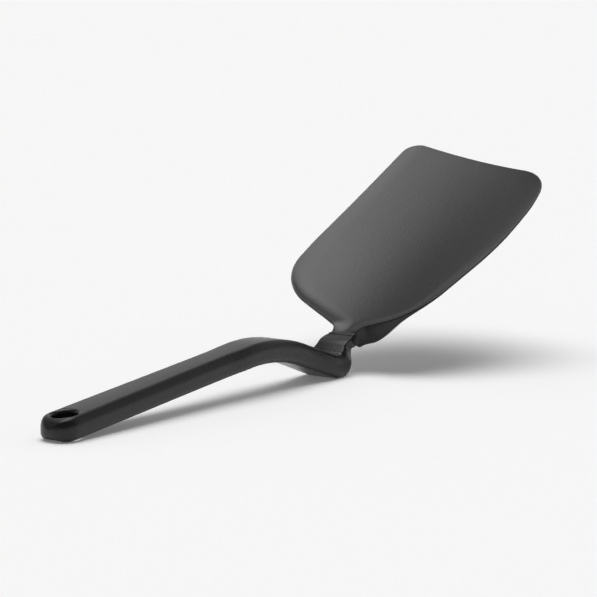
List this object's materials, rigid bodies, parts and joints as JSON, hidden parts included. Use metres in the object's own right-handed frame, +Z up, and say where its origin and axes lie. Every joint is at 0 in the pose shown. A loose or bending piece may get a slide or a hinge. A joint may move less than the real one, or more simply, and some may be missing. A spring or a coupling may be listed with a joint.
{
  "type": "kitchen turner",
  "caption": "Rigid black turner with a thin dished blade, a humped soft-touch handle with a hanging hole, and a built-in foot that holds the blade clear of the worktop.",
  "frame": {"origin": "on the worktop, at the middle of the flat under the foot, in the handle's plane of symmetry", "axes": "+X from the handle to the blade, +Z up, +Y across to the blade's straight side"},
  "size_m": [0.3215, 0.1028, 0.097],
  "materials": {
    "blade_nylon": "fine matte moulded nylon",
    "soft_touch_grip": "smooth matte soft-touch elastomer",
    "core_plastic": "as moulded, glass filled",
    "spine_steel": "brushed strip"
  },
  "bodies": {
    "root": {"blade": "blade_nylon", "grip_sleeve": "soft_touch_grip", "handle_core": "core_plastic", "steel_spine": "spine_steel", "spine_rivet_front": "spine_steel", "spine_rivet_rear": "spine_steel"}
  },
  "joints": []
}
